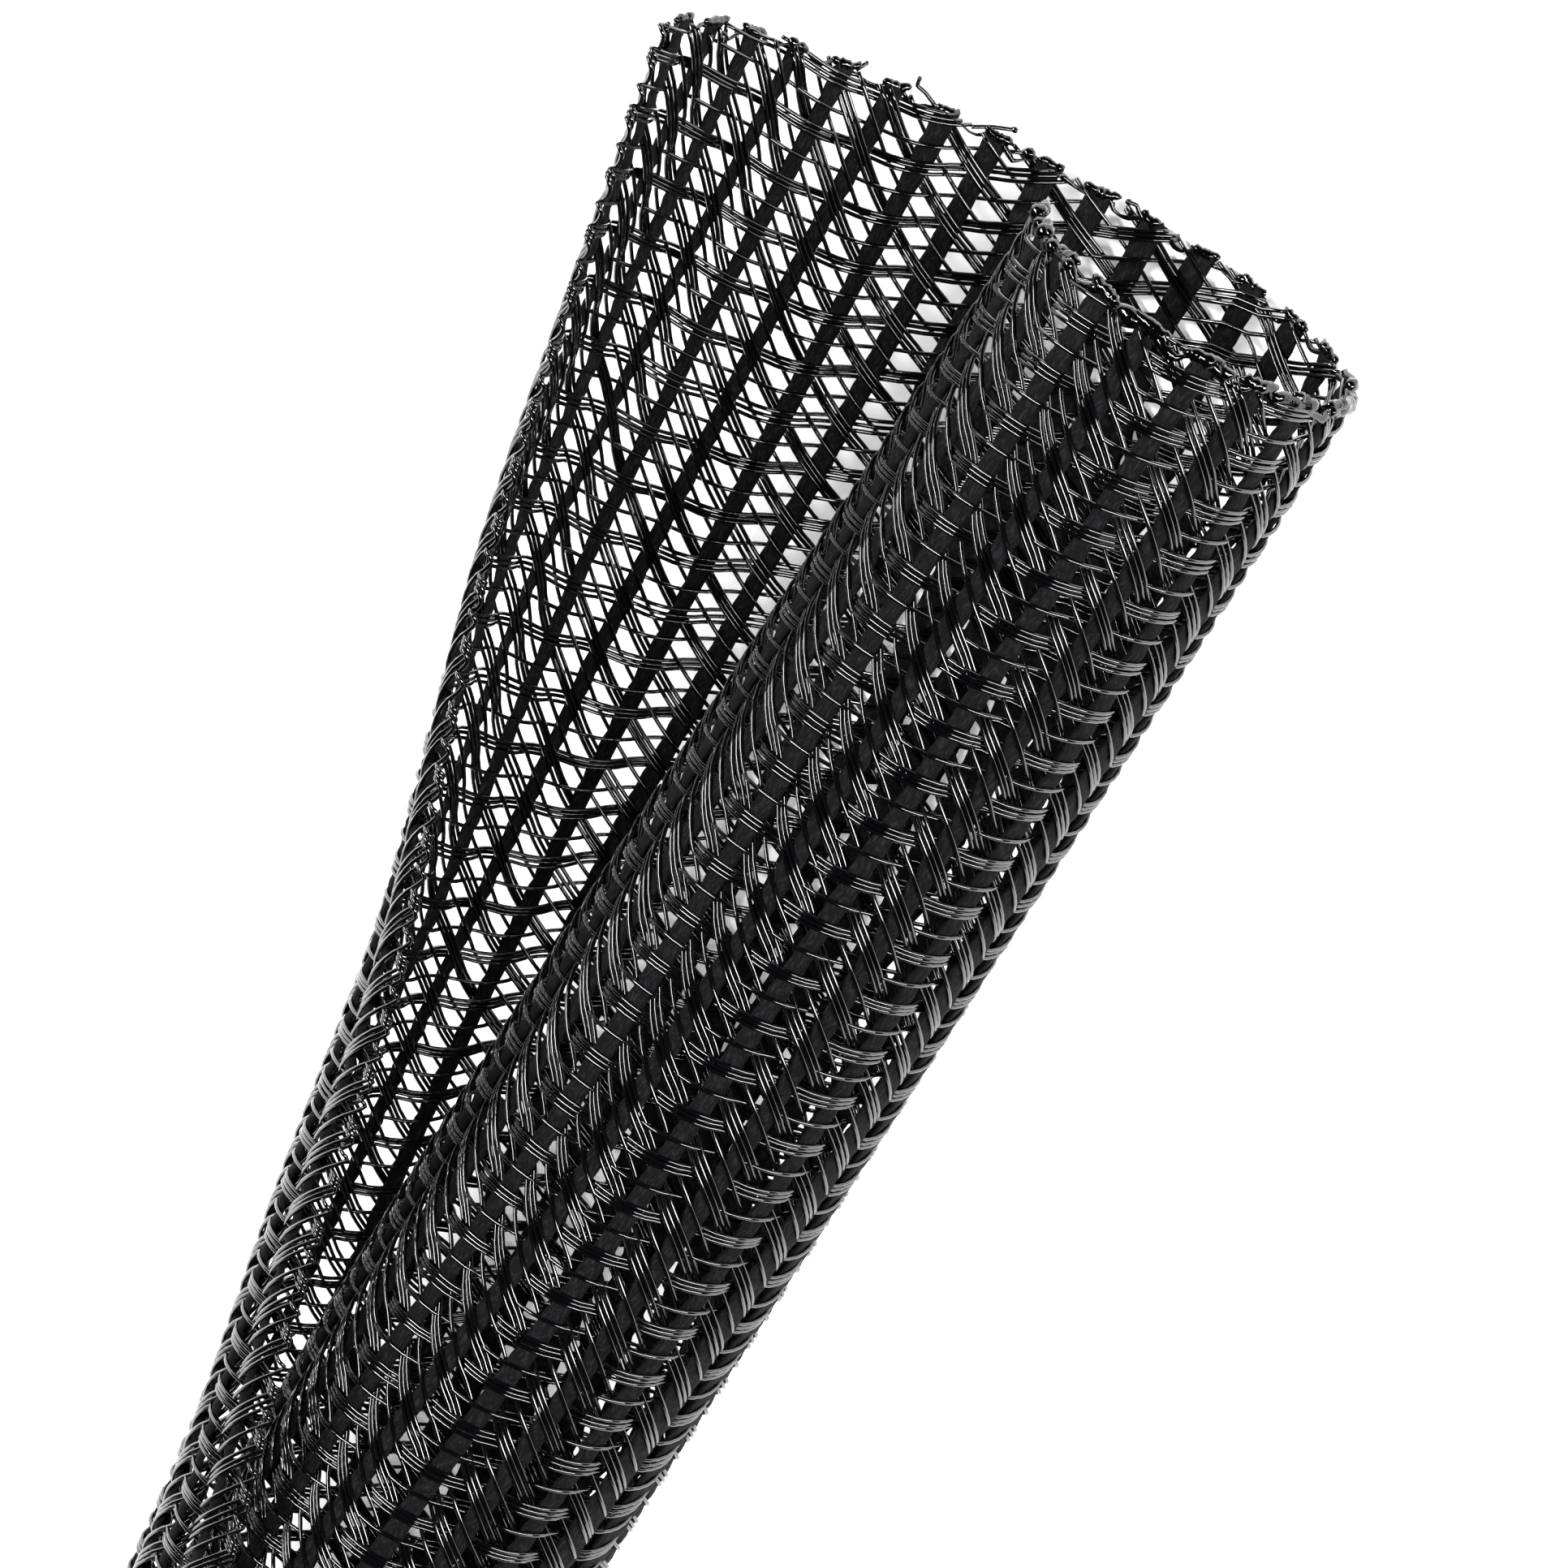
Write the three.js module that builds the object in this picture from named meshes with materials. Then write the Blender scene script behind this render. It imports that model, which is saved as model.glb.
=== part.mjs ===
import * as THREE from "three";

// Split braided cable sleeve, cut to length, closed on itself along most of the
// length and spread open at the +Y cut end. Millimetres, +Z up, on the floor z = 0.
const SLEEVE_LENGTH = 305;
const YARN_COUNT = 26;
const YARN_PITCH = 4.06;
const YARN_WIDTH = 1.6;
const SHEET_WIDTH = YARN_COUNT * YARN_PITCH;
const WALL_AT_YARN = 1.1;
const WALL_BETWEEN_YARNS = 0.7;

// The fine mesh is stood for by a plain grid of openings, between lengthwise bars on every
// second yarn and cross bars as long as the openings. Both edges keep a solid selvage.
const BAR_PITCH = 2 * YARN_PITCH;
const OPENINGS_ACROSS = Math.floor(YARN_COUNT / 2) - 1;
const FIRST_BAR_IN = (SHEET_WIDTH - OPENINGS_ACROSS * BAR_PITCH) / 2;
const OPENING_LENGTH = 6.1;
const CROSS_BAR = 6.1;
const OPENING_ROWS = Math.floor(SLEEVE_LENGTH / (OPENING_LENGTH + CROSS_BAR));
const END_BAR = (SLEEVE_LENGTH + CROSS_BAR - OPENING_ROWS * (OPENING_LENGTH + CROSS_BAR)) / 2;

// Where the sleeve is closed the flap laps over the near edge, and the wall winds out by one
// layer a turn.
const LAYER_CLEARANCE = 0.7;
const CLOSED_NEAR_RADIUS = 12.1;
const CLOSED_FLAP_RADIUS = CLOSED_NEAR_RADIUS + WALL_AT_YARN + LAYER_CLEARANCE;
const CLOSED_FLOOR_RADIUS = (CLOSED_NEAR_RADIUS + CLOSED_FLAP_RADIUS) / 2;

// The curl of the wall is set at five evenly spaced stations from the opened cut end, then
// closes over one more run. Widths run around the sheet from its outer lengthwise edge,
// radii are those of mid wall, and the rise is the angle at which the outer edge starts.
const STATION_SPACING = 35;
const CLOSING_RUN = 60;
const CLOSED_FROM = 4 * STATION_SPACING + CLOSING_RUN;

const CUT_NEAR_WIDTH = 42;
const CUT_FLOOR_WIDTH = 75.1;
const CUT_NEAR_RADIUS = 11.88;
const CUT_FLOOR_RADIUS = 222;
const CUT_FLAP_RADIUS = 21.3;

const SECOND_NEAR_WIDTH = 52.6;
const SECOND_FLOOR_WIDTH = 63.5;
const SECOND_NEAR_RADIUS = 12.42;
const SECOND_FLOOR_RADIUS = 69.8;
const SECOND_FLAP_RADIUS = 14.31;

const THIRD_NEAR_WIDTH = 51;
const THIRD_FLOOR_WIDTH = 62.4;
const THIRD_NEAR_RADIUS = 12.88;
const THIRD_FLOOR_RADIUS = 22.87;
const THIRD_FLAP_RADIUS = 16.02;

const MEETING_NEAR_WIDTH = 39.4;
const MEETING_FLOOR_WIDTH = 53.5;
const MEETING_NEAR_RADIUS = 12.77;
const MEETING_FLOOR_RADIUS = 14.81;
const MEETING_FLAP_RADIUS = 15.36;

const LAP_NEAR_WIDTH = 31.1;
const LAP_FLOOR_WIDTH = 50.4;
const LAP_NEAR_RADIUS = 12.39;
const LAP_FLOOR_RADIUS = 13.65;
const LAP_FLAP_RADIUS = 15.52;

const CLOSED_NEAR_WIDTH = 26;
const CLOSED_FLOOR_WIDTH = 56;

const CURL_STATIONS = [
  { from: 0, nearTo: CUT_NEAR_WIDTH, floorFrom: CUT_FLOOR_WIDTH, near: CUT_NEAR_RADIUS,
    floor: CUT_FLOOR_RADIUS, flap: CUT_FLAP_RADIUS, rise: 83.5 },
  { from: STATION_SPACING, nearTo: SECOND_NEAR_WIDTH, floorFrom: SECOND_FLOOR_WIDTH,
    near: SECOND_NEAR_RADIUS, floor: SECOND_FLOOR_RADIUS, flap: SECOND_FLAP_RADIUS, rise: 82.3 },
  { from: 2 * STATION_SPACING, nearTo: THIRD_NEAR_WIDTH, floorFrom: THIRD_FLOOR_WIDTH,
    near: THIRD_NEAR_RADIUS, floor: THIRD_FLOOR_RADIUS, flap: THIRD_FLAP_RADIUS, rise: 82.1 },
  { from: 3 * STATION_SPACING, nearTo: MEETING_NEAR_WIDTH, floorFrom: MEETING_FLOOR_WIDTH,
    near: MEETING_NEAR_RADIUS, floor: MEETING_FLOOR_RADIUS, flap: MEETING_FLAP_RADIUS,
    rise: 90.5 },
  { from: 4 * STATION_SPACING, nearTo: LAP_NEAR_WIDTH, floorFrom: LAP_FLOOR_WIDTH,
    near: LAP_NEAR_RADIUS, floor: LAP_FLOOR_RADIUS, flap: LAP_FLAP_RADIUS, rise: 95.6 },
  { from: CLOSED_FROM, nearTo: CLOSED_NEAR_WIDTH, floorFrom: CLOSED_FLOOR_WIDTH,
    near: CLOSED_NEAR_RADIUS, floor: CLOSED_FLOOR_RADIUS, flap: CLOSED_FLAP_RADIUS,
    rise: 101.9 },
];
const FLAP_WIDTH = 32.7;
const FLAP_BLEND = 26;

const TRACE_STEP = 0.2;

function smooth(t) {
  const c = Math.min(1, Math.max(0, t));
  return c * c * (3 - 2 * c);
}

// A smooth run through the station values, level at the closed end.
function along(distance, valueOf) {
  const last = CURL_STATIONS.length - 1;
  let i = 0;
  while (i < last - 1 && distance >= CURL_STATIONS[i + 1].from) {
    i += 1;
  }
  const slope = (j) => {
    if (j === last) {
      return 0;
    }
    const a = CURL_STATIONS[Math.max(0, j - 1)];
    const b = CURL_STATIONS[j + 1];
    return (valueOf(b) - valueOf(a)) / (b.from - a.from);
  };
  const p = CURL_STATIONS[i];
  const q = CURL_STATIONS[i + 1];
  const span = q.from - p.from;
  const t = Math.min(1, (distance - p.from) / span);
  const rise = t * t * (3 - 2 * t);
  const leave = t * (1 - t) * (1 - t) * span * slope(i);
  const arrive = t * t * (t - 1) * span * slope(i + 1);
  return valueOf(p) * (1 - rise) + valueOf(q) * rise + leave + arrive;
}

// Mid wall of one cross-section, traced around the sheet from its outer edge: over the
// top, down the right side, along the floor and up into the flap.
function traceMidWall(distance) {
  const nearTo = along(distance, (s) => s.nearTo);
  const floorFrom = along(distance, (s) => s.floorFrom);
  const near = along(distance, (s) => 1 / s.near);
  const floor = along(distance, (s) => 1 / s.floor);
  const flap = along(distance, (s) => 1 / s.flap);
  let heading = THREE.MathUtils.degToRad(along(distance, (s) => s.rise));
  const steps = Math.round(SHEET_WIDTH / TRACE_STEP);
  const step = SHEET_WIDTH / steps;
  const points = [{ around: 0, x: 0, z: 0, heading }];
  let x = 0;
  let z = 0;
  for (let i = 0; i < steps; i += 1) {
    const around = (i + 0.5) * step;
    const bend = near
      + (floor - near) * smooth((around - nearTo) / (floorFrom - nearTo))
      + (flap - floor) * smooth((around - SHEET_WIDTH + FLAP_WIDTH) / FLAP_BLEND);
    heading -= bend * step * 0.5;
    x += Math.cos(heading) * step;
    z += Math.sin(heading) * step;
    heading -= bend * step * 0.5;
    points.push({ around: (i + 1) * step, x, z, heading });
  }
  return points;
}

function pointAt(trace, around) {
  const place = Math.min(trace.length - 1.000001, (around / SHEET_WIDTH) * (trace.length - 1));
  const i = Math.floor(place);
  const t = place - i;
  const a = trace[i];
  const b = trace[i + 1];
  return {
    x: a.x + (b.x - a.x) * t,
    z: a.z + (b.z - a.z) * t,
    heading: a.heading + (b.heading - a.heading) * t,
  };
}

// Places around the sheet where the section turns, with the wall there. A strip that opens
// runs from its break to the next one and has openings in it.
function wallBreaks() {
  const breaks = [{ around: 0, wall: WALL_BETWEEN_YARNS, opens: false }];
  for (let k = 0; k <= OPENINGS_ACROSS; k += 1) {
    const centre = FIRST_BAR_IN + k * BAR_PITCH;
    const opens = k < OPENINGS_ACROSS;
    breaks.push({ around: centre - YARN_WIDTH / 2, wall: WALL_AT_YARN, opens: false });
    breaks.push({ around: centre + YARN_WIDTH / 2, wall: WALL_AT_YARN, opens });
    if (opens) {
      breaks.push({ around: centre + BAR_PITCH / 2, wall: WALL_BETWEEN_YARNS, opens });
    }
  }
  breaks.push({ around: SHEET_WIDTH, wall: WALL_BETWEEN_YARNS, opens: false });
  return breaks;
}

function turned(point, angle) {
  const c = Math.cos(angle);
  const s = Math.sin(angle);
  return { x: point.x * c - point.z * s, z: point.x * s + point.z * c };
}

// Both faces of one cross-section, as traced.
function wallFaces(distance, breaks) {
  const trace = traceMidWall(distance);
  const outer = [];
  const inner = [];
  for (const { around, wall } of breaks) {
    const { x, z, heading } = pointAt(trace, around);
    const nx = -Math.sin(heading) * wall * 0.5;
    const nz = Math.cos(heading) * wall * 0.5;
    outer.push({ x: x + nx, z: z + nz });
    inner.push({ x: x - nx, z: z - nz });
  }
  return { outer, inner };
}

// The turn that lays the lowest lengthwise bar of the closed sleeve flat on the floor.
function closedTip(breaks) {
  const { outer } = wallFaces(CLOSED_FROM, breaks);
  let low = 1;
  for (let j = 1; j < breaks.length - 2; j += 1) {
    const isBar = breaks[j].wall === WALL_AT_YARN && breaks[j + 1].wall === WALL_AT_YARN;
    if (isBar && outer[j].z + outer[j + 1].z < outer[low].z + outer[low + 1].z) {
      low = j;
    }
  }
  return -Math.atan2(outer[low].z - outer[low + 1].z, outer[low].x - outer[low + 1].x);
}

// A section set down on the floor, with its right side on one line along the sleeve.
function wallSection(distance, breaks, tip) {
  const faces = wallFaces(distance, breaks);
  const angle = tip * smooth((distance - CLOSED_FROM + CLOSING_RUN) / CLOSING_RUN);
  const outer = faces.outer.map((p) => turned(p, angle));
  const inner = faces.inner.map((p) => turned(p, angle));
  const right = Math.max(...outer.map((p) => p.x));
  const down = Math.min(...outer.map((p) => p.z));
  const place = (p) => new THREE.Vector3(p.x - right, SLEEVE_LENGTH - distance, p.z - down);
  return { outer: outer.map(place), inner: inner.map(place) };
}

// Distances from the opened cut end: a bar at each end, with openings and cross bars in turn.
function sectionDistances() {
  const distances = [0];
  for (let row = 0; row < OPENING_ROWS; row += 1) {
    const start = END_BAR + row * (OPENING_LENGTH + CROSS_BAR);
    distances.push(start, start + OPENING_LENGTH);
  }
  return [...distances, SLEEVE_LENGTH];
}

function sleeveWall() {
  const breaks = wallBreaks();
  const tip = closedTip(breaks);
  const sections = sectionDistances().map((distance) => wallSection(distance, breaks, tip));
  const count = breaks.length;
  const positions = [];
  for (const { outer, inner } of sections) {
    for (const p of [...outer, ...inner]) {
      positions.push(p.x, p.y, p.z);
    }
  }
  const index = [];
  const quad = (a, b, c, d) => index.push(a, b, c, a, c, d);
  const outerAt = (s, j) => s * count * 2 + j;
  const innerAt = (s, j) => s * count * 2 + count + j;
  const isOpen = (s, j) => s % 2 === 1 && j >= 0 && breaks[j].opens;
  for (let s = 0; s < sections.length - 1; s += 1) {
    for (let j = 0; j < count; j += 1) {
      const leftEnds = isOpen(s, j) !== isOpen(s, j - 1) || j === 0 || j === count - 1;
      const solidAfter = !isOpen(s, j) && j < count - 1;
      if (leftEnds && solidAfter) {
        quad(outerAt(s, j), innerAt(s, j), innerAt(s + 1, j), outerAt(s + 1, j));
      } else if (leftEnds) {
        quad(outerAt(s, j), outerAt(s + 1, j), innerAt(s + 1, j), innerAt(s, j));
      }
    }
    for (let j = 0; j < count - 1; j += 1) {
      if (isOpen(s, j)) {
        quad(outerAt(s, j), innerAt(s, j), innerAt(s, j + 1), outerAt(s, j + 1));
        quad(outerAt(s + 1, j), outerAt(s + 1, j + 1), innerAt(s + 1, j + 1), innerAt(s + 1, j));
      } else {
        quad(outerAt(s, j), outerAt(s + 1, j), outerAt(s + 1, j + 1), outerAt(s, j + 1));
        quad(innerAt(s, j), innerAt(s, j + 1), innerAt(s + 1, j + 1), innerAt(s + 1, j));
      }
    }
  }
  const end = sections.length - 1;
  for (let j = 0; j < count - 1; j += 1) {
    quad(outerAt(0, j), outerAt(0, j + 1), innerAt(0, j + 1), innerAt(0, j));
    quad(outerAt(end, j), innerAt(end, j), innerAt(end, j + 1), outerAt(end, j + 1));
  }
  const geometry = new THREE.BufferGeometry();
  geometry.setAttribute("position", new THREE.Float32BufferAttribute(positions, 3));
  geometry.setIndex(index);
  geometry.computeVertexNormals();
  return geometry;
}

function centred(geometry) {
  geometry.computeBoundingBox();
  const { min, max } = geometry.boundingBox;
  geometry.translate(-(min.x + max.x) / 2, -(min.y + max.y) / 2, 0);
  return geometry;
}

const sleeve = new THREE.Group();
sleeve.name = "split_braided_cable_sleeve";

const wall = new THREE.Mesh(
  centred(sleeveWall()),
  new THREE.MeshStandardMaterial({ color: 0x141416, roughness: 0.4, metalness: 0 }),
);
wall.name = "sleeve_wall";
sleeve.add(wall);

export default sleeve;
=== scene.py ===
import math

import bpy
import numpy as np
from mathutils import Matrix, Vector


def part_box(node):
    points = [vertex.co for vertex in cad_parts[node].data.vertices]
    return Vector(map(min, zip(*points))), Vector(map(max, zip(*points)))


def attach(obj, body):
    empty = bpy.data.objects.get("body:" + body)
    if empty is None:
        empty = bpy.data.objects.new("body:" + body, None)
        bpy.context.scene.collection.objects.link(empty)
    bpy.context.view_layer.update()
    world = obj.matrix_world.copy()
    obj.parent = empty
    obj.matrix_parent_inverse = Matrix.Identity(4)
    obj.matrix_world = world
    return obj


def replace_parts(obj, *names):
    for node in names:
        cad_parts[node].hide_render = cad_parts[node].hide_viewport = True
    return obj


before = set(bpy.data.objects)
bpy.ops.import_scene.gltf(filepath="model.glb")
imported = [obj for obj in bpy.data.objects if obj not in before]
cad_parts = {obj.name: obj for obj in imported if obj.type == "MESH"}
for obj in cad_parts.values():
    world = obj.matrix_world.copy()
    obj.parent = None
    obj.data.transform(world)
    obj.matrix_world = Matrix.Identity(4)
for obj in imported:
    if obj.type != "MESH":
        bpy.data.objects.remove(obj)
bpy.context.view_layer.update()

# The lie of the sleeve: one braided sheet, heat-set so that it curls round on itself. It is closed
# with a lap at the far end and spread open at the cut end, and it lies on its own lowest yarns.
SHEET_YARNS = 26
YARN_PITCH = 4.06
SHEET_WIDTH = SHEET_YARNS * YARN_PITCH
SLEEVE_LENGTH = 305.0
HALF_WALL = 0.55
LAP_STEP = 1.8
CLOSED_NEAR = 12.1
# The curved part of the flap: its width and the width over which its curve sets in, where the
# sleeve is open and where it is closed, and the distances from the cut between which they change.
OPEN_FLAP = (42.0, 36.0)
CLOSED_FLAP = (32.7, 26.0)
FLAP_CHANGE = (105.0, 200.0)
# Distance from the cut, width where the near curl ends, width where the floor curl starts, radii of
# the near curl, the floor and the flap, all in mm, and the angle at which the outer edge rises.
CURL_STATIONS = (
    (0.0, 41.8, 75.4, 11.88, 251.0, 21.06, 83.6),
    (35.0, 52.4, 63.4, 12.45, 70.3, 14.22, 82.4),
    (70.0, 50.7, 62.2, 12.88, 22.69, 15.85, 82.3),
    (105.0, 38.8, 54.9, 12.97, 15.3, 15.81, 91.4),
    (140.0, 31.0, 50.4, 12.45, 13.69, 15.64, 102.1),
    (200.0, 26.0, 56.0, CLOSED_NEAR, CLOSED_NEAR + LAP_STEP / 2, CLOSED_NEAR + LAP_STEP, 101.9),
)


def eased(t):
    t = np.clip(t, 0.0, 1.0)
    return t * t * (3.0 - 2.0 * t)


def curl_at(run):
    """The curl's widths, curvatures and rise at a distance from the cut, eased between stations."""
    at = [s[0] for s in CURL_STATIONS]
    rows = np.array([
        [s[1], s[2], 1 / s[3], 1 / s[4], 1 / s[5], math.radians(s[6])] for s in CURL_STATIONS
    ])
    last = len(at) - 1
    i = int(np.clip(np.searchsorted(at, run, side="right") - 1, 0, last - 1))

    def slope(j):
        if j == last:
            return 0.0 * rows[0]
        before = max(0, j - 1)
        return (rows[j + 1] - rows[before]) / (at[j + 1] - at[before])

    span = at[i + 1] - at[i]
    t = min(1.0, max(0.0, (run - at[i]) / span))
    ease = t * t * (3 - 2 * t)
    return (
        rows[i] * (1 - ease) + rows[i + 1] * ease
        + slope(i) * span * t * (1 - t) ** 2 + slope(i + 1) * span * t * t * (t - 1)
    )


# The lie is worked out once on a grid: each row is the sheet's cross-section at one distance from
# the cut, a little past both ends, pushed against the wall's high X side and down onto the table.
GRID_RUN = 2.5
GRID_STEPS = 480
GRID_BEYOND = 5.0
run_grid = np.arange(-GRID_BEYOND, SLEEVE_LENGTH + GRID_BEYOND + 0.1, GRID_RUN)
sheet_x, sheet_z, sheet_heading = [], [], []
for run in run_grid:
    near_to, floor_from, near, floor, flap, rise = curl_at(run)
    step = SHEET_WIDTH / GRID_STEPS
    flap_width = np.interp(run, FLAP_CHANGE, (OPEN_FLAP[0], CLOSED_FLAP[0]))
    flap_blend = np.interp(run, FLAP_CHANGE, (OPEN_FLAP[1], CLOSED_FLAP[1]))
    around = (np.arange(GRID_STEPS) + 0.5) * step
    bend = (
        near + (floor - near) * eased((around - near_to) / (floor_from - near_to))
        + (flap - floor) * eased((around - SHEET_WIDTH + flap_width) / flap_blend)
    )
    turned = np.cumsum(bend) * step
    middle = rise - turned + bend * step / 2
    heading = np.r_[rise, rise - turned]
    x = np.r_[0.0, np.cumsum(np.cos(middle)) * step]
    z = np.r_[0.0, np.cumsum(np.sin(middle)) * step]
    x -= (x - np.sin(heading) * HALF_WALL).max()
    z -= (z + np.cos(heading) * HALF_WALL).min()
    sheet_x.append(x)
    sheet_z.append(z)
    sheet_heading.append(heading)
sheet_x, sheet_z, sheet_heading = map(np.array, (sheet_x, sheet_z, sheet_heading))
wall_high = np.array(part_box("sleeve_wall")[1])


def on_sheet(around, run, out=0.0):
    """Points of the sheet in metres, `out` mm outside mid wall, and the outward directions."""
    fu = np.clip(around / SHEET_WIDTH * GRID_STEPS, -8.0, GRID_STEPS + 8.0)
    fv = np.clip((run - run_grid[0]) / GRID_RUN, 0.0, len(run_grid) - 1.001)
    iu = np.clip(np.floor(fu).astype(int), 0, GRID_STEPS - 1)
    iv = np.floor(fv).astype(int)
    tu, tv = fu - iu, fv - iv

    def blend(grid):
        return (
            (grid[iv, iu] * (1 - tu) + grid[iv, iu + 1] * tu) * (1 - tv)
            + (grid[iv + 1, iu] * (1 - tu) + grid[iv + 1, iu + 1] * tu) * tv
        )

    heading = blend(sheet_heading)
    outward = np.stack([-np.sin(heading), np.zeros_like(heading), np.cos(heading)], axis=-1)
    spot = np.stack([
        wall_high[0] * 1000 + blend(sheet_x), wall_high[1] * 1000 - run, blend(sheet_z)
    ], axis=-1)
    return (spot + outward * np.asarray(out)[..., None]) / 1000, outward


# The weave's lean: opening the sleeve by hand has skewed the braid. From the near edge the
# crossings fall back round the curl, and up the flap they come forward again.
LEAN_AROUND = (0.0, 34.0, 42.0, 72.0, 76.0, 81.0, 88.0, 106.0)
LEAN_SLOPE = (0.4, 0.4, 0.0, 0.0, -0.12, -0.42, -0.65, -0.65)
lean_fine = np.linspace(0.0, 106.0, 531)
lean_slopes = np.interp(lean_fine, LEAN_AROUND, LEAN_SLOPE)
lean_total = np.cumsum(lean_slopes) * (lean_fine[1] - lean_fine[0])


def lean(around):
    """How far, in mm, the crossings sit behind their square places."""
    return np.interp(around, lean_fine, lean_total)


def lean_slope(around):
    """How steeply the crossings fall back there, mm of run for each mm around."""
    return np.interp(around, lean_fine, lean_slopes)


# Lengthwise yarns: 26 flat bundles of fine polyester filament that run the length of the sleeve.
# The bias filaments nip them from both sides, and they swell between the nips.
YARN_WIDTH = 1.5
# (place around the sheet, yarn width), mm: plain on the near curl, wide on the floor, and drawn narrow on
# the flap. The floor's width is partly the sleeve lying on its yarns and partly painted shade: the wide
# dark yarns close the floor wall so that the inside of the tube stays dark. The widening starts some way
# behind the cut, past the floor that is seen straight through the mouth.
YARN_SPREAD = (
    (0.0, 0.9), (4.0, 1.5), (29.0, 1.5), (32.0, 2.6), (37.0, 3.5), (60.0, 3.5), (66.0, 2.2), (75.0, 1.4),
    (90.0, 1.2), (105.0, 1.1),
)
SHADE_FILL_FROM = 8.0
SHADE_FILL_OVER = 6.0
FRAY_WIDTH = 0.3
FRAY_RUN = 4.0
YARN_THICK = 0.46
YARN_WAVE = 0.09
YARN_PHASE = 0.25
YARN_DRIFT = 0.06
YARN_UNEVEN = 0.05
YARN_LUMPS = 0.06
YARN_SQUARE = 0.8
COLUMN = YARN_PITCH / 2
BRAID_RISE = 2.03
# Where the yarns stand, in columns from the near edge, and how far the photo shows the sleeve.
YARN_AT = 0.25
PHOTO_RUN = 128.0
dice = np.random.default_rng(41)


def wander(count, scale):
    """A smooth random curve of about unit height, with a new value every `scale` samples."""
    knots = dice.normal(0.0, 1.0, int(count / scale) + 3)
    return np.interp(np.arange(count) / scale, np.arange(len(knots)), knots)


def tube_mesh(paths, outward, sizes):
    """Vertices and faces of a closed tube along a path. sizes is (across, through) for each ring."""
    count = len(paths)
    sides = len(sizes[0])
    tangent = np.gradient(paths, axis=0)
    tangent /= np.linalg.norm(tangent, axis=1, keepdims=True)
    across = np.cross(tangent, outward)
    across /= np.linalg.norm(across, axis=1, keepdims=True)
    up = np.cross(across, tangent)
    rings = (
        paths[:, None] + across[:, None] * sizes[:, :, :1] + up[:, None] * sizes[:, :, 1:]
    )
    points = np.concatenate([rings.reshape(-1, 3), paths[:1], paths[-1:]])
    k = np.arange(sides)
    after = (k + 1) % sides
    row = np.arange(count - 1)[:, None] * sides
    quads = np.stack([row + k, row + after, row + sides + after, row + sides + k], axis=-1)
    first, last = count * sides, count * sides + 1
    cap_a = np.stack([np.full(sides, first), after, k], axis=-1)
    end = (count - 1) * sides
    cap_b = np.stack([np.full(sides, last), end + k, end + after], axis=-1)
    return points, quads.reshape(-1, 4), np.concatenate([cap_a, cap_b])


def joined_piece(name, parts, material):
    """One smooth-shaded mesh object from many (points, quads, triangles)."""
    points = np.concatenate([p[0] for p in parts])
    starts = np.cumsum([0] + [len(p[0]) for p in parts[:-1]])
    quads = np.concatenate([p[1] + s for p, s in zip(parts, starts)]) if len(parts[0][1]) else []
    tris = np.concatenate([p[2] + s for p, s in zip(parts, starts)])
    corners = np.concatenate([np.ravel(quads), np.ravel(tris)]).astype(np.int32)
    sizes = np.r_[np.full(len(quads), 4), np.full(len(tris), 3)].astype(np.int32)
    mesh = bpy.data.meshes.new(name)
    mesh.vertices.add(len(points))
    mesh.vertices.foreach_set("co", points.astype(np.float32).ravel())
    mesh.loops.add(len(corners))
    mesh.loops.foreach_set("vertex_index", corners)
    mesh.polygons.add(len(sizes))
    mesh.polygons.foreach_set("loop_start", np.r_[0, np.cumsum(sizes)[:-1]].astype(np.int32))
    mesh.polygons.foreach_set("use_smooth", np.ones(len(sizes), bool))
    mesh.update(calc_edges=True)
    mesh.validate()
    mesh.materials.append(material)
    piece = bpy.data.objects.new(name, mesh)
    bpy.context.scene.collection.objects.link(piece)
    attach(piece, "root")
    return piece


def linear(hex_colour):
    """An sRGB hex colour as linear red, green, blue and full alpha."""
    values = [int(hex_colour[i:i + 2], 16) / 255 for i in (1, 3, 5)]
    return (*(v / 12.92 if v <= 0.04045 else ((v + 0.055) / 1.055) ** 2.4 for v in values), 1.0)


def add_node(material, kind, settings=None, **inputs):
    """Adds a node, sets its properties, and sets or links its inputs (dots in names for spaces)."""
    made = material.node_tree.nodes.new(kind)
    for key, value in (settings or {}).items():
        setattr(made, key, value)
    for key, value in inputs.items():
        socket = made.inputs[key.replace("_", " ")]
        if isinstance(value, bpy.types.NodeSocket):
            material.node_tree.links.new(value, socket)
        else:
            socket.default_value = value
    return made


def new_material(name):
    material = bpy.data.materials.new(name)
    material.use_nodes = True
    material.node_tree.nodes.clear()
    return material


def finish_material(material, shader):
    out = add_node(material, "ShaderNodeOutputMaterial")
    material.node_tree.links.new(shader.outputs[0], out.inputs["Surface"])


# Textured polyester multifilament: hundreds of dull filaments a few hundredths of a millimetre
# thick lie along the yarn, so it looks matt black with slightly lighter streaks.
yarn_fibre = new_material("textured_polyester_multifilament")
run_along = add_node(yarn_fibre, "ShaderNodeUVMap", {"uv_map": "yarn_run"})
stretch = add_node(
    yarn_fibre, "ShaderNodeMapping", Vector=run_along.outputs[0], Scale=(1.0, 0.3, 1.0)
)
streaks = add_node(
    yarn_fibre, "ShaderNodeTexNoise", Vector=stretch.outputs[0],
    Scale=5.0, Detail=4.0, Roughness=0.7, Distortion=0.6,
)
tone = add_node(yarn_fibre, "ShaderNodeValToRGB", Fac=streaks.outputs[0])
tone.color_ramp.elements[0].position = 0.48
tone.color_ramp.elements[0].color = linear("#050506")
tone.color_ramp.elements[1].position = 0.68
tone.color_ramp.elements[1].color = linear("#1c1c1e")
relief = add_node(
    yarn_fibre, "ShaderNodeBump", Height=streaks.outputs[0], Strength=0.9, Distance=0.00012
)
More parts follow.
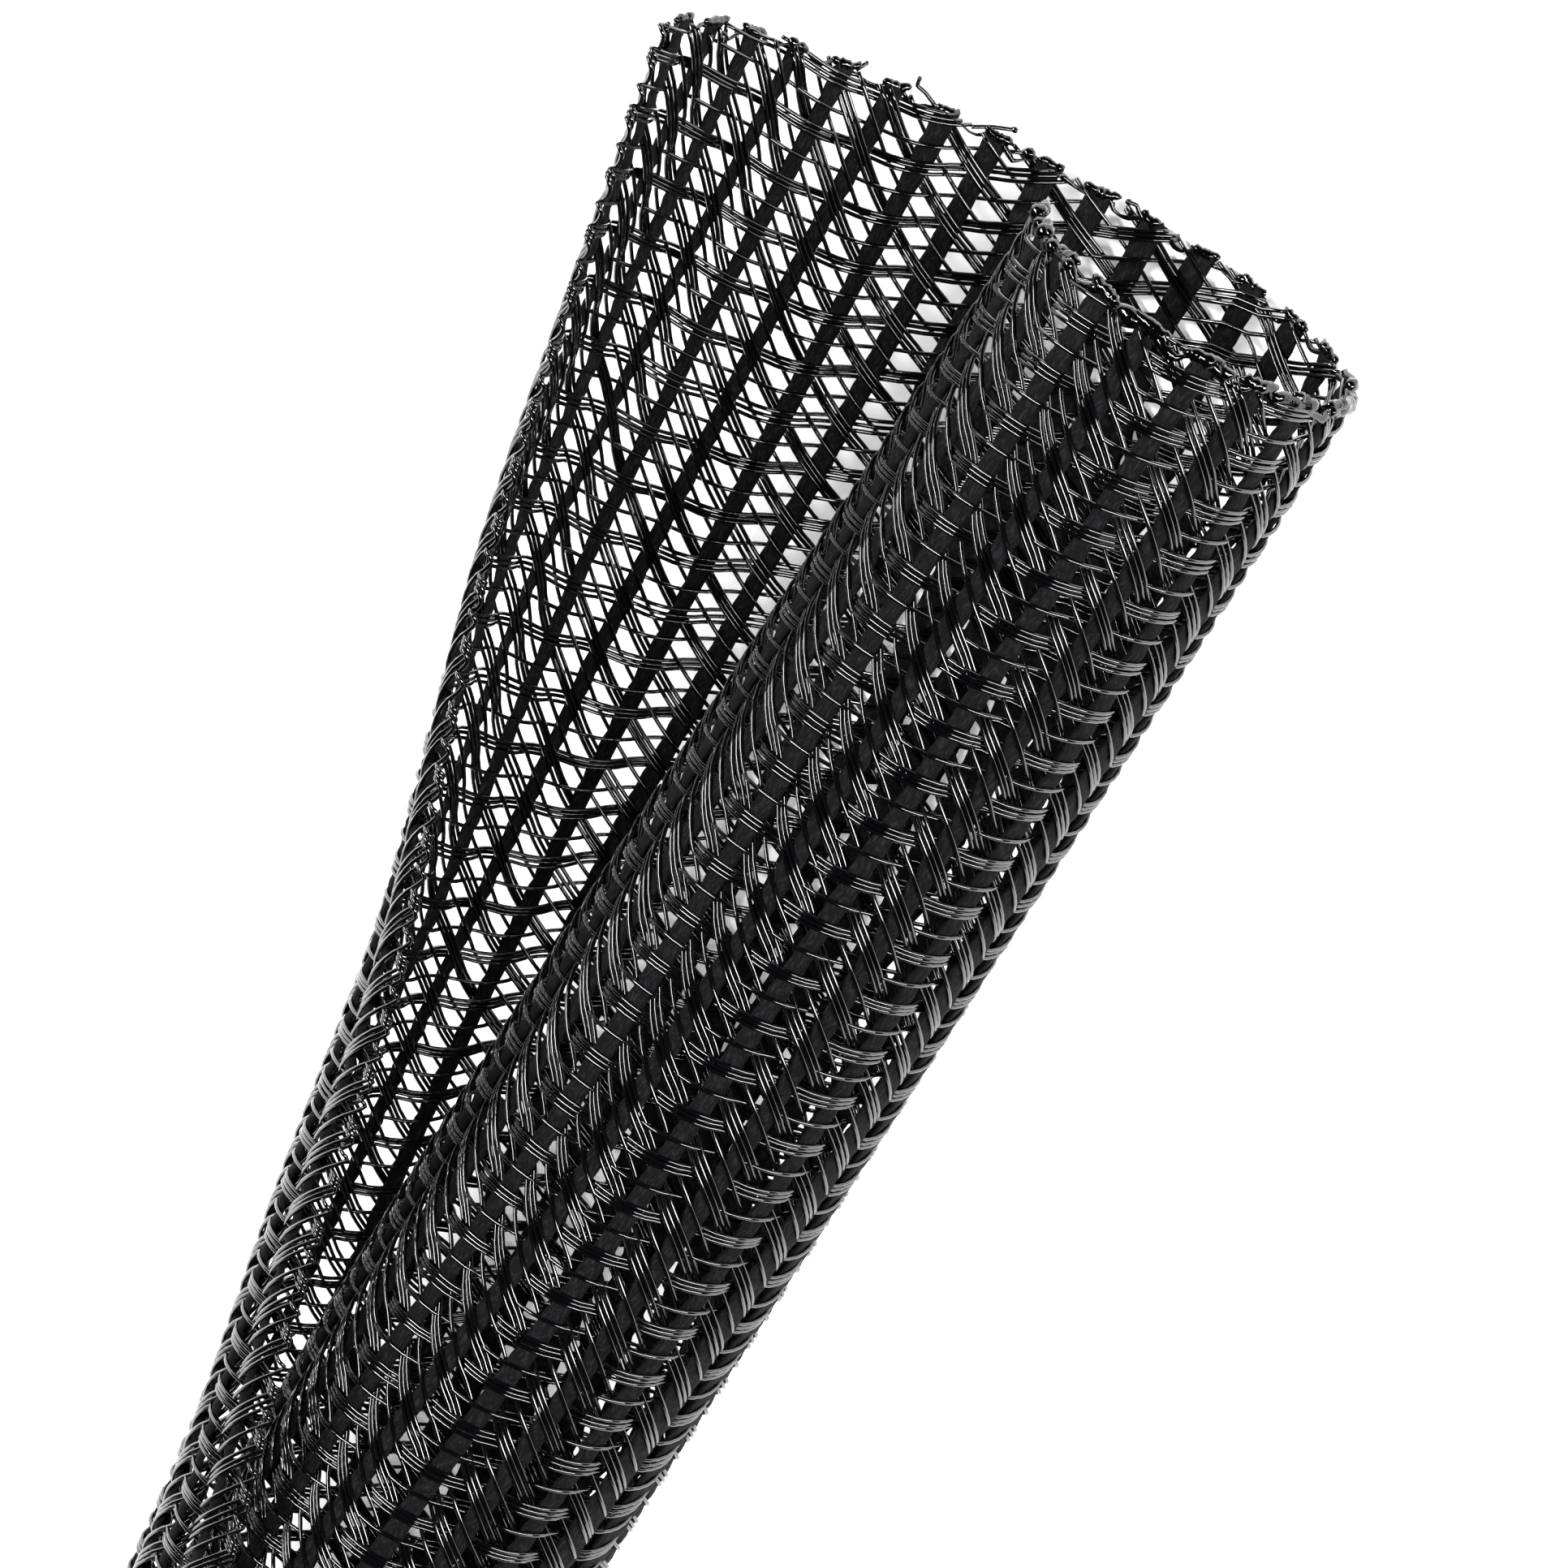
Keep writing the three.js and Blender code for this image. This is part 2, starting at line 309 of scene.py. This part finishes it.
yarn_shader = add_node(
    yarn_fibre, "ShaderNodeBsdfPrincipled", Base_Color=tone.outputs[0], Roughness=0.8,
    IOR=1.57, Specular_IOR_Level=0.07, Normal=relief.outputs[0],
)
finish_material(yarn_fibre, yarn_shader)

YARN_SIDES = 10
turn = np.arange(YARN_SIDES) / YARN_SIDES * 2 * math.pi
yarn_parts = []
yarn_uvs = []
for k in range(SHEET_YARNS):
    around = (2 * k + YARN_AT) * COLUMN
    run = np.r_[
        np.arange(0.0, PHOTO_RUN, BRAID_RISE / 3),
        np.arange(PHOTO_RUN, SLEEVE_LENGTH, BRAID_RISE / 2), SLEEVE_LENGTH,
    ]
    phase = 2 * math.pi * ((run - lean(around)) / BRAID_RISE - YARN_PHASE)
    side = -1.0 if k % 2 == 0 else 1.0
    drift = around + YARN_DRIFT * wander(len(run), 14)
    paths, outward = on_sheet(drift, run, side * YARN_WAVE * np.cos(phase))
    spread = np.interp(around, *zip(*YARN_SPREAD))
    frayed = FRAY_WIDTH * np.exp(-run / FRAY_RUN)
    # Painted shade, partly real pressing: behind the cut the floor yarns widen until the floor wall is
    # nearly closed, so the inside of the tube stays dark.
    shade_fill_share = np.clip((run - SHADE_FILL_FROM) / SHADE_FILL_OVER, 0.0, 1.0)
    pressed_and_shade_width = max(spread - YARN_WIDTH, 0.0) * shade_fill_share
    swell = 1.0 + YARN_UNEVEN * wander(len(run), 5) - YARN_UNEVEN * np.cos(2 * phase)
    width = (min(spread, YARN_WIDTH) + pressed_and_shade_width + frayed) / 2 * swell
    thick = YARN_THICK / 2 * (1.0 + YARN_UNEVEN * np.cos(2 * phase))
    lumps = 1.0 + YARN_LUMPS * dice.normal(size=YARN_SIDES)
    across = np.sign(np.cos(turn)) * np.abs(np.cos(turn)) ** YARN_SQUARE
    through = np.sign(np.sin(turn)) * np.abs(np.sin(turn)) ** YARN_SQUARE
    sizes = np.stack([
        width[:, None] * across * lumps, thick[:, None] * through * lumps
    ], axis=-1) / 1000
    yarn_parts.append(tube_mesh(paths, outward, sizes))
    yarn_uvs.append((len(run), run, k))
yarns = joined_piece("lengthwise_yarns", yarn_parts, yarn_fibre)
# The streaks follow each yarn: across it in mm one way, along it in mm the other, and each yarn
# starts at a place of its own in the pattern.
SIDE_MM = 0.45
YARN_SHIFT = 7.3
uv_layer = yarns.data.uv_layers.new(name="yarn_run")
around_uv, along_uv = [], []
for count, run, k in yarn_uvs:
    girth = np.minimum(np.arange(YARN_SIDES), YARN_SIDES - np.arange(YARN_SIDES)) * SIDE_MM + k * YARN_SHIFT
    around_uv.append(np.r_[np.tile(girth, count), girth[0], girth[0]])
    along_uv.append(np.r_[np.repeat(run, YARN_SIDES), run[0], run[-1]])
place = np.stack([np.concatenate(around_uv), np.concatenate(along_uv)], axis=-1)
corner_vertex = np.empty(len(yarns.data.loops), np.int32)
yarns.data.loops.foreach_get("vertex_index", corner_vertex)
uv_layer.data.foreach_set("uv", place[corner_vertex].astype(np.float32).ravel())
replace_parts(yarns, "sleeve_wall")

# Bias filaments: stiff round polyester monofilament, braided over two and under two. Every other
# strand is three filaments side by side, the rest are single, and at both lengthwise edges each
# strand turns back and crosses the sheet again.
FILAMENT = 0.32
TRIPLE_PITCH = 0.35
# The crimp's height, how square its wave is, and the turn at the edges, where it eases to nothing.
CRIMP = 0.37
CRIMP_SQUARE = 0.7
EDGE_TURN = 0.55
EDGE_EASE = 0.35
EDGE_ZONE = 1.6
# How far strands wander along the sleeve, triples loosen, and single filaments stray, mm or share.
STRAND_DRIFT = 0.07
TRIPLE_LOOSENESS = 0.14
LANE_DRIFT = 0.03
OUT_DRIFT = 0.02
# Strands start and end this far beyond the cuts, and the two meshes overlap by this much.
OVERRUN = 40.0
MESH_LAP = 0.8
STRANDS = int(round(SHEET_WIDTH / COLUMN))
SLOPE = BRAID_RISE / YARN_PITCH

# Extruded PET monofilament: drawn, so it is smooth, round and glossy. Each filament is black with
# one thin bright line of light along it.
filament_pet = new_material("extruded_pet_monofilament")
filament_spot = add_node(filament_pet, "ShaderNodeTexCoord")
die_marks = add_node(
    filament_pet, "ShaderNodeTexNoise", Vector=filament_spot.outputs["Object"],
    Scale=900.0, Detail=2.0, Roughness=0.5,
)
gloss = add_node(
    filament_pet, "ShaderNodeMapRange", Value=die_marks.outputs[0],
    From_Min=0.3, From_Max=0.7, To_Min=0.07, To_Max=0.11,
)
filament_shader = add_node(
    filament_pet, "ShaderNodeBsdfPrincipled", Base_Color=linear("#030304"),
    Roughness=gloss.outputs[0], IOR=1.66,
)
finish_material(filament_pet, filament_shader)


def fold_back(travel):
    """Where a strand is across the sheet after travelling that far, turning back at both edges."""
    place = np.mod(travel, 2 * SHEET_WIDTH)
    from_edge = np.minimum(place, 2 * SHEET_WIDTH - place)
    near = np.sqrt(from_edge ** 2 + EDGE_TURN ** 2) - EDGE_TURN
    from_far = np.abs(place - SHEET_WIDTH)
    far = SHEET_WIDTH - (np.sqrt(from_far ** 2 + EDGE_TURN ** 2) - EDGE_TURN)
    return np.where(from_edge < SHEET_WIDTH / 2, near, far)


def strand_out(travel):
    """How far outside mid wall a strand lies: over two columns, then under two."""
    place = np.mod(travel, 2 * SHEET_WIDTH)
    rising = place < SHEET_WIDTH
    column = np.where(rising, place, 2 * SHEET_WIDTH - place) / COLUMN
    wave = np.cos(math.pi / 2 * (column - YARN_AT))
    wave = np.sign(wave) * np.abs(wave) ** CRIMP_SQUARE
    edge = np.minimum(place, 2 * SHEET_WIDTH - place)
    far = np.abs(place - SHEET_WIDTH)
    swing = np.tanh(np.minimum(edge, far) / EDGE_EASE)
    sign = np.where(rising, 1.0, -1.0)
    return CRIMP * sign * wave * swing


filament_turn = {sides: np.arange(sides) / sides * 2 * math.pi for sides in (4, 6)}
photo_parts, far_parts = [], []
for strand in range(STRANDS):
    is_triple = strand % 2 == 0
    start = strand * BRAID_RISE
    travel = np.arange(
        (-start - OVERRUN) / SLOPE, (SLEEVE_LENGTH + OVERRUN - start) / SLOPE, COLUMN / 5
    )
    shake = STRAND_DRIFT * wander(len(travel), 30)
    spread = 1.0 + TRIPLE_LOOSENESS * wander(len(travel), 40)
    for lane in ((-1, 0, 1) if is_triple else (0,)):
        around = fold_back(travel)
        heading_way = np.where(np.mod(travel, 2 * SHEET_WIDTH) < SHEET_WIDTH, 1.0, -1.0)
        steepness = heading_way * SLOPE + lean_slope(around)
        lane_gap = TRIPLE_PITCH * np.sqrt(1.0 + steepness ** 2) * spread
        lane_run = start + travel * SLOPE + lane * lane_gap + shake
        lane_run = lane_run + LANE_DRIFT * wander(len(travel), 25)
        run = lane_run + lean(around)
        out = strand_out(travel) + OUT_DRIFT * wander(len(travel), 25)
        from_edge = np.mod(travel, SHEET_WIDTH)
        at_edge = np.minimum(from_edge, SHEET_WIDTH - from_edge) < EDGE_ZONE
        inside = (run > 0.0) & (run < SLEEVE_LENGTH)
        index = np.arange(len(travel))
        near_index = inside & (run <= PHOTO_RUN) & ((index % 2 == 0) | at_edge)
        sparse = (index % 3 == 0) | (at_edge & (index % 2 == 0))
        far_index = inside & (run >= PHOTO_RUN - MESH_LAP) & sparse
        for keep, sides, parts in ((near_index, 6, photo_parts), (far_index, 4, far_parts)):
            chosen = index[keep]
            if len(chosen) < 4:
                continue
            # A strand may leave the length and come back, so it is cut into its separate runs.
            for piece in np.split(chosen, np.where(np.diff(chosen) > 5)[0] + 1):
                if len(piece) < 4:
                    continue
                spots, outward = on_sheet(around[piece], run[piece], out[piece])
                ring = np.stack([
                    np.cos(filament_turn[sides]), np.sin(filament_turn[sides])
                ], axis=-1) * FILAMENT / 2000
                sizes = np.repeat(ring[None], len(piece), axis=0)
                parts.append(tube_mesh(spots, outward, sizes))

# No piece may have more triangles than this.
MOST_TRIANGLES = 190000


def in_lots(parts):
    """Splits tubes into lots that stay under the triangle limit of one piece."""
    lots, lot, count = [], [], 0
    for part in parts:
        size = 2 * len(part[1]) + len(part[2])
        if count + size > MOST_TRIANGLES:
            lots.append(lot)
            lot, count = [], 0
        lot.append(part)
        count += size
    return lots + [lot]


for i, lot in enumerate(in_lots(photo_parts)):
    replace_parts(joined_piece(f"bias_filaments_open_{i + 1}", lot, filament_pet), "sleeve_wall")
for i, lot in enumerate(in_lots(far_parts)):
    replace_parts(joined_piece(f"bias_filaments_closed_{i + 1}", lot, filament_pet), "sleeve_wall")

# The cut end: a hot knife has melted the filaments and yarns together into a lumpy black rim, with
# a bead wherever more plastic ran together, and a few filament ends stand clear of it.
# The melt sets smooth and glossy, with small dents that break up its highlights.
melted_pet = new_material("melted_polyester")
melt_spot = add_node(melted_pet, "ShaderNodeTexCoord")
melt_lumps = add_node(
    melted_pet, "ShaderNodeTexNoise", Vector=melt_spot.outputs["Object"],
    Scale=1400.0, Detail=3.0, Roughness=0.6,
)
melt_relief = add_node(
    melted_pet, "ShaderNodeBump", Height=melt_lumps.outputs[0], Strength=0.35, Distance=0.0002
)
melt_shader = add_node(
    melted_pet, "ShaderNodeBsdfPrincipled", Base_Color=linear("#020202"), Roughness=0.1,
    IOR=1.5, Normal=melt_relief.outputs[0],
)
finish_material(melted_pet, melt_shader)

RIM_SIDES = 8
# The rope lies this far behind the cut, and sags by this much between two yarns.
RIM_BEHIND = 0.25
RIM_SAG = 0.5
RIM_WOBBLE = 0.14
RIM_RIPPLE = 0.07
RIM_UNEVEN = 0.3
RIM_THINNEST = 0.09
# The rope's radius around the sheet, mm. It is thickest where the near curl was pressed together.
RIM_RADIUS = (
    (0.0, 0.42), (9.0, 0.4), (14.0, 0.44), (26.0, 0.34), (34.0, 0.3), (40.0, 0.24), (45.0, 0.22),
    (50.0, 0.17), (60.0, 0.15), (72.0, 0.18), (80.0, 0.13), (105.6, 0.13),
)
rim_turn = np.arange(RIM_SIDES) / RIM_SIDES * 2 * math.pi
rim_around = np.arange(0.0, SHEET_WIDTH + 0.01, 0.3)
rim_count = len(rim_around)
sag = 0.5 - 0.5 * np.cos(2 * math.pi * (rim_around / YARN_PITCH - YARN_AT / 2))
rim_run = RIM_BEHIND + RIM_SAG * sag + RIM_WOBBLE * wander(rim_count, 4) + RIM_RIPPLE * wander(rim_count, 2)
rim_out = RIM_WOBBLE * wander(rim_count, 4)
rim_size = np.interp(rim_around, *zip(*RIM_RADIUS)) * (1.0 + RIM_UNEVEN * wander(rim_count, 2.5))
rim_spots, rim_outward = on_sheet(rim_around, rim_run, rim_out)
rim_ring = np.stack([np.cos(rim_turn), 0.85 * np.sin(rim_turn)], axis=-1)
rim_parts = [tube_mesh(
    rim_spots, rim_outward, np.clip(rim_size, RIM_THINNEST, 1.0)[:, None, None] * rim_ring / 1000
)]


def melted_cap(start, end, run, size, turned_up=0.0):
    """A lump across the cut from one place around the sheet to another, its far end turned up."""
    steps = 12
    along = np.linspace(-0.98, 0.98, steps)
    spots, outward = on_sheet(
        (start + end) / 2 + along * (end - start) / 2,
        run - turned_up * np.clip(along, 0.0, 1.0) ** 2 + 0.05 * dice.normal(size=steps),
        0.08 * wander(steps, 3),
    )
    girth = (1.0 - along ** 4) ** 0.5 * size * (1.0 + 0.16 * dice.normal(size=steps)) / 1000
    rim_parts.append(tube_mesh(spots, outward, girth[:, None, None] * rim_ring))


def bead(around, run, out, size):
    """A drop of melted plastic, `size` mm in radius."""
    along = np.linspace(-0.995, 0.995, 8)
    spots, outward = on_sheet(
        np.full(8, around), run + along * size, np.full(8, out)
    )
    girth = np.sqrt(1.0 - along ** 2) * size / 1000
    lumps = 1.0 + 0.1 * dice.normal(size=RIM_SIDES)
    ring = np.stack([np.cos(rim_turn) * lumps, np.sin(rim_turn) * lumps], axis=-1)
    rim_parts.append(tube_mesh(spots, outward, girth[:, None, None] * ring))


def loose_end(points, size):
    """A filament end that stands clear of the rim, with a bead on its tip."""
    knots = np.array(points)
    at = np.linspace(0.0, len(knots) - 1.0, 5 * len(knots))
    around, run, out = (np.interp(at, np.arange(len(knots)), knots[:, i]) for i in range(3))
    spots, outward = on_sheet(around, run, out)
    ring = np.stack([np.cos(rim_turn), np.sin(rim_turn)], axis=-1) * FILAMENT / 2000
    rim_parts.append(tube_mesh(spots, outward, np.repeat(ring[None], len(at), axis=0)))
    bead(around[-1], run[-1], out[-1], size)


# One lump fuses each yarn to its neighbours' filaments. The caps are (half width, radius), wider
# where the near curl was pressed.
PRESSED_TO = 36.0
CAP_BEHIND = 0.12
PRESSED_CAP = (1.3, 0.48)
FREE_CAP = (1.15, 0.36)
for k in range(SHEET_YARNS):
    place = (2 * k + YARN_AT) * COLUMN
    reach, size = PRESSED_CAP if place < PRESSED_TO else FREE_CAP
    reach += 0.15 * dice.normal()
    ends = (place - reach, place + reach) if dice.random() < 0.5 else (place + reach, place - reach)
    melted_cap(*ends, CAP_BEHIND, size, turned_up=0.3 + 0.2 * dice.random())
# (place around the sheet, radius) of the beads and (start, end, radius) of the long lumps, as the
# photo shows them on the near curl and on the floor.
NEAR_BEADS = ((1.2, 0.62), (3.6, 0.5), (4.8, 0.58), (7.0, 0.5), (9.4, 0.5), (32.2, 0.45))
NEAR_LUMPS = ((13.9, 18.2, 0.56), (19.2, 23.2, 0.4), (26.0, 30.6, 0.5), (33.4, 37.2, 0.6))
FLOOR_BEADS = ((40.0, 0.5), (45.3, 0.4), (48.6, 0.42), (54.3, 0.34), (65.6, 0.46), (71.2, 0.48))
for place, size in NEAR_BEADS:
    bead(place, run=0.3, out=0.2, size=size)
for start, end, size in NEAR_LUMPS:
    melted_cap(start, end, run=0.35, size=size, turned_up=0.3)
for place, size in FLOOR_BEADS:
    bead(place, run=0.1, out=-0.1, size=size)
# Four filament ends stand clear: (around, run, out) of their bends, and the radius of the bead.
loose_end(((78.4, 0.2, 0.0), (79.6, -0.35, 0.2), (80.3, -0.5, 0.3), (80.4, -1.0, 0.35)), 0.2)
loose_end(((75.6, 0.3, 0.0), (74.4, -0.25, 0.2), (72.8, -0.8, 0.3)), 0.24)
loose_end(((84.9, 0.2, 0.0), (84.4, -0.5, 0.1)), 0.19)
loose_end(((62.2, 0.3, 0.0), (63.0, -0.35, -0.1), (63.6, -0.3, -0.2)), 0.24)
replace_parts(joined_piece("melted_cut_rim", rim_parts, melted_pet), "sleeve_wall")

# The table: a plain matt white board. It glows a little, as a table lit from below does, so that
# it prints white in the sleeve's own shadow too.
table_white = new_material("matt_white_board")
table_shader = add_node(
    table_white, "ShaderNodeBsdfPrincipled", Base_Color=linear("#f6f6f6"), Roughness=0.9, IOR=1.45,
    Emission_Color=linear("#ffffff"), Emission_Strength=0.3,
)
finish_material(table_white, table_shader)
bpy.ops.mesh.primitive_plane_add(size=4.0, location=(0.0, 0.0, 0.0))
table = bpy.context.object
table.name = "white_table"
table.data.materials.append(table_white)

# Soft studio light: two long narrow boxes lean in from the left and right in one plane across the
# sleeve, so that each filament carries one thin bright line and the inside stays dark.


def softbox(name, place, target, width, height, power):
    lamp = bpy.data.lights.new(name, "AREA")
    lamp.shape = "RECTANGLE"
    lamp.size = width
    lamp.size_y = height
    lamp.energy = power
    holder = bpy.data.objects.new(name, lamp)
    bpy.context.scene.collection.objects.link(holder)
    holder.location = place
    holder.rotation_euler = (Vector(target) - Vector(place)).to_track_quat("-Z", "Y").to_euler()


LIT_SPOT = (0.0, 0.04, 0.01)
STRIP_WIDTH = 0.12
STRIP_LENGTH = 0.75
softbox("left_strip", (-0.52, 0.28, 0.65), LIT_SPOT, STRIP_WIDTH, STRIP_LENGTH, 17.5)
softbox("right_strip", (0.64, 0.28, 0.55), LIT_SPOT, STRIP_WIDTH, STRIP_LENGTH, 14.5)
world = bpy.data.worlds.new("studio_room")
bpy.context.scene.world = world
world.use_nodes = True
world.node_tree.nodes["Background"].inputs[0].default_value = (1.0, 1.0, 1.0, 1.0)
world.node_tree.nodes["Background"].inputs[1].default_value = 0.02

# Camera: above the sleeve and towards its open end, so that it looks a little into the mouth, and
# rolled so that the sleeve lies slanted. Angles in degrees, the rest in mm, fitted to the photo.
CAMERA_TILT = 20.45
CAMERA_PAN = 6.0
CAMERA_ROLL = -31.63
CAMERA_AWAY = 396.5
SCALE_AT_LOOK = 0.05754
PHOTO_WIDTH = 1932
LOOK_AT = (wall_high[0] * 1000 - HALF_WALL - 19.9, SLEEVE_LENGTH / 2 - 48.9, HALF_WALL)
tilt, pan, roll = (math.radians(a) for a in (CAMERA_TILT, CAMERA_PAN, CAMERA_ROLL))
back = np.array([
    math.sin(pan), math.sin(tilt) * math.cos(pan), math.cos(tilt) * math.cos(pan)
])
level_up = np.array([0.0, 1.0, 0.0]) - back[1] * back
level_up /= np.linalg.norm(level_up)
right = np.cross(level_up, back)
camera_right = math.cos(roll) * right - math.sin(roll) * level_up
camera_up = math.sin(roll) * right + math.cos(roll) * level_up
camera_data = bpy.data.cameras.new("photo_camera")
camera_data.sensor_fit = "HORIZONTAL"
camera_data.sensor_width = 36.0
camera_data.lens = CAMERA_AWAY / SCALE_AT_LOOK / PHOTO_WIDTH * camera_data.sensor_width
camera_data.clip_start = 0.01
camera = bpy.data.objects.new("photo_camera", camera_data)
bpy.context.scene.collection.objects.link(camera)
spot = (np.array(LOOK_AT) + back * CAMERA_AWAY) / 1000
camera.matrix_world = Matrix((
    (camera_right[0], camera_up[0], back[0], spot[0]),
    (camera_right[1], camera_up[1], back[1], spot[1]),
    (camera_right[2], camera_up[2], back[2], spot[2]),
    (0.0, 0.0, 0.0, 1.0),
))
bpy.context.scene.camera = camera
bpy.context.scene.view_settings.view_transform = "Standard"
